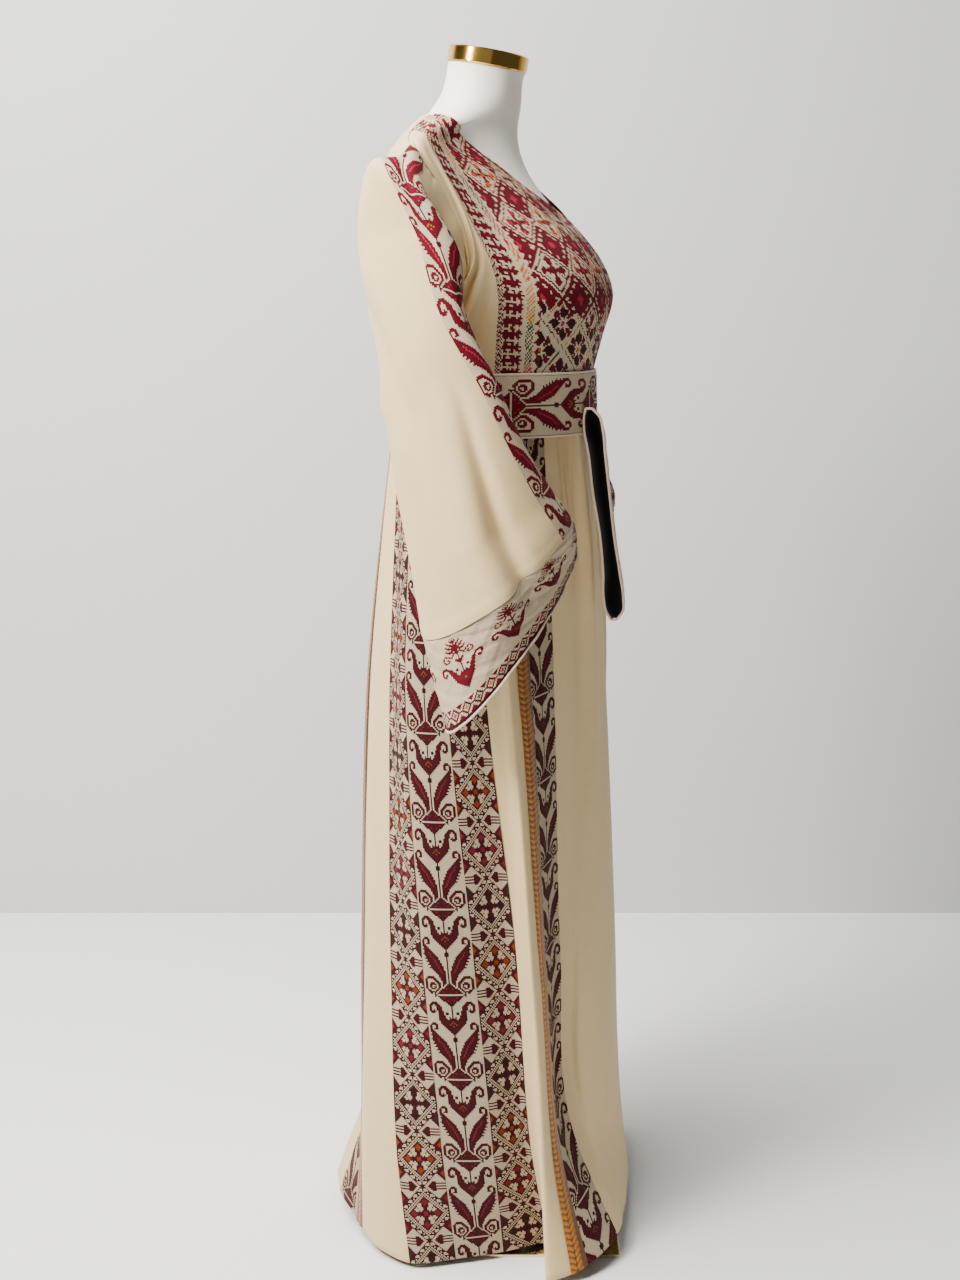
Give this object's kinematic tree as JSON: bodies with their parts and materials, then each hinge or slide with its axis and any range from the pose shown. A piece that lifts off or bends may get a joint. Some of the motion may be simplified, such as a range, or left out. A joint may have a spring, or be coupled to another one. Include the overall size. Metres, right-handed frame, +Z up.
{
  "type": "thobe robe on a dress form",
  "caption": "Long embroidered thobe robe with wide hanging sleeves and a waist belt, shown on a limbless dress form with a square base.",
  "frame": {"origin": "underside of the base plate, straight under the middle of the robe's waist", "axes": "+Z up, -Y to the robe's front, -X to the wearer's right"},
  "size_m": [0.5682, 0.4429, 1.6261],
  "materials": {
    "cream_cloth": "smooth cream cloth, matt with a faint sheen",
    "embroidered_cloth": "greyish cream cloth covered with crimson cross-stitch",
    "gold_braid": "plaited gold thread",
    "cream_piping": "smooth cord",
    "black_velvet": "short black pile",
    "form_ivory": "smooth ivory, satin",
    "polished_brass": "polished",
    "mirror_plate": "mirror polished"
  },
  "bodies": {
    "root": {"skirt_front": "cream_cloth", "front_gore_r": "cream_cloth", "front_gore_l": "cream_cloth", "back_gore_r": "cream_cloth", "back_gore_l": "cream_cloth", "skirt_back": "cream_cloth", "bodice_side_r": "cream_cloth", "bodice_side_l": "cream_cloth", "bodice_back": "cream_cloth", "sleeve_r": "cream_cloth", "sleeve_l": "cream_cloth", "front_strip_r": "embroidered_cloth", "front_strip_l": "embroidered_cloth", "side_diamond_front_r": "embroidered_cloth", "side_diamond_front_l": "embroidered_cloth", "side_floral_r": "embroidered_cloth", "side_floral_l": "embroidered_cloth", "side_diamond_back_r": "embroidered_cloth", "side_diamond_back_l": "embroidered_cloth", "back_strip_r": "embroidered_cloth", "back_strip_l": "embroidered_cloth", "chest_panel": "embroidered_cloth", "sleeve_strip_r": "embroidered_cloth", "sleeve_strip_l": "embroidered_cloth", "cuff_r": "embroidered_cloth", "cuff_l": "embroidered_cloth", "belt": "embroidered_cloth", "belt_tail": "embroidered_cloth", "front_braid_r": "gold_braid", "front_braid_l": "gold_braid", "back_braid_r": "gold_braid", "back_braid_l": "gold_braid", "cuff_piping_r": "cream_piping", "cuff_piping_l": "cream_piping", "belt_piping_top": "cream_piping", "belt_piping_bottom": "cream_piping", "belt_tail_piping": "cream_piping", "belt_tail_lining": "black_velvet", "form_body": "form_ivory", "form_cap": "polished_brass", "form_pole": "polished_brass", "form_base": "mirror_plate"}
  },
  "joints": []
}
